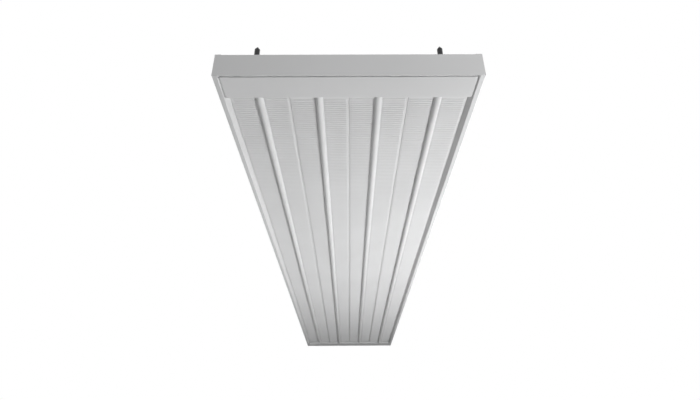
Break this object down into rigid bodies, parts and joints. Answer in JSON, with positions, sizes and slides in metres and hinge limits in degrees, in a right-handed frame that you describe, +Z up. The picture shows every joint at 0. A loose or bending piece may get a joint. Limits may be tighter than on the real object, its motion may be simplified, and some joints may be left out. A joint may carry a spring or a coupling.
{
  "type": "radiant heating panel",
  "caption": "Ceiling-hung radiant heating panel: ribbed plates with pipe seats between side rails, header covers and end plates, water pipes above, wire grips on top.",
  "frame": {"origin": "middle of the panel in the plane of the side rails' bottom lips", "axes": "+X across the panel, +Y along it towards the rear end, +Z up towards the ceiling"},
  "size_m": [0.6478, 3, 0.1047],
  "materials": {
    "powder_coat": "satin pale grey powder coat on sheet steel",
    "plate_coat": "satin pale grey powder coat on ribbed sheet steel",
    "pipe_steel": "drawn steel tube, dull zinc grey",
    "header_steel": "dark grey primer on welded square tube",
    "zinc_sheet": "galvanised sheet",
    "fastener_steel": "zinc plated",
    "brass": "turned brass, nickel free",
    "grip_black": "black, semi-gloss",
    "ball_steel": "ground balls",
    "spring_steel": "spring wire",
    "blanket": "mineral wool faced with crinkled aluminium foil"
  },
  "bodies": {
    "panel": {"radiant_plate_1": "plate_coat", "heating_pipe_1": "pipe_steel", "radiant_plate_2": "plate_coat", "heating_pipe_2": "pipe_steel", "radiant_plate_3": "plate_coat", "heating_pipe_3": "pipe_steel", "radiant_plate_4": "plate_coat", "heating_pipe_4": "pipe_steel", "side_rail_left": "powder_coat", "side_rail_right": "powder_coat", "end_plate_front": "powder_coat", "end_plate_rear": "powder_coat", "header_cover_front": "powder_coat", "header_cover_rear": "powder_coat", "end_plate_rivets": "powder_coat", "header_tube_front": "header_steel", "header_tube_rear": "header_steel", "header_end_caps": "header_steel", "header_divider": "header_steel", "supply_spigot": "pipe_steel", "return_spigot": "pipe_steel", "air_vent_body": "brass", "insulation_blanket": "blanket", "cross_bar_1": "zinc_sheet", "cross_bar_2": "zinc_sheet", "cross_bar_3": "zinc_sheet", "pipe_saddles": "zinc_sheet", "seam_clips": "zinc_sheet", "cover_clips": "zinc_sheet", "hanger_brackets": "zinc_sheet", "edge_rivets": "fastener_steel", "cross_bar_rivets": "fastener_steel", "grip_studs": "fastener_steel", "grip_washers": "fastener_steel", "grip_nuts": "fastener_steel", "grip_barrel_front_left": "grip_black", "grip_spring_front_left": "spring_steel", "grip_barrel_front_right": "grip_black", "grip_spring_front_right": "spring_steel", "grip_barrel_rear_left": "grip_black", "grip_spring_rear_left": "spring_steel", "grip_barrel_rear_right": "grip_black", "grip_spring_rear_right": "spring_steel"},
    "plunger_front_left": {"grip_plunger_front_left": "grip_black", "grip_balls_front_left": "ball_steel"},
    "plunger_front_right": {"grip_plunger_front_right": "grip_black", "grip_balls_front_right": "ball_steel"},
    "plunger_rear_left": {"grip_plunger_rear_left": "grip_black", "grip_balls_rear_left": "ball_steel"},
    "plunger_rear_right": {"grip_plunger_rear_right": "grip_black", "grip_balls_rear_right": "ball_steel"},
    "vent_screw": {"air_vent_screw": "brass"}
  },
  "joints": [
    {"name": "plunger_press_front_left", "type": "slide", "parent": "panel", "child": "plunger_front_left", "axis": [0, 0, -1], "range_m": [0, 0.003], "stiffness_N_per_m": 600, "springref_m": -0.002, "deforming": ["grip_spring_front_left"]},
    {"name": "plunger_press_front_right", "type": "slide", "parent": "panel", "child": "plunger_front_right", "axis": [0, 0, -1], "range_m": [0, 0.003], "stiffness_N_per_m": 600, "springref_m": -0.002, "deforming": ["grip_spring_front_right"]},
    {"name": "plunger_press_rear_left", "type": "slide", "parent": "panel", "child": "plunger_rear_left", "axis": [0, 0, -1], "range_m": [0, 0.003], "stiffness_N_per_m": 600, "springref_m": -0.002, "deforming": ["grip_spring_rear_left"]},
    {"name": "plunger_press_rear_right", "type": "slide", "parent": "panel", "child": "plunger_rear_right", "axis": [0, 0, -1], "range_m": [0, 0.003], "stiffness_N_per_m": 600, "springref_m": -0.002, "deforming": ["grip_spring_rear_right"]},
    {"name": "vent_screw_turn", "type": "hinge", "parent": "panel", "child": "vent_screw", "pos_m": [0, 1.45, 0.076], "axis": [0, 0, 1], "range_deg": [0, 360]}
  ]
}
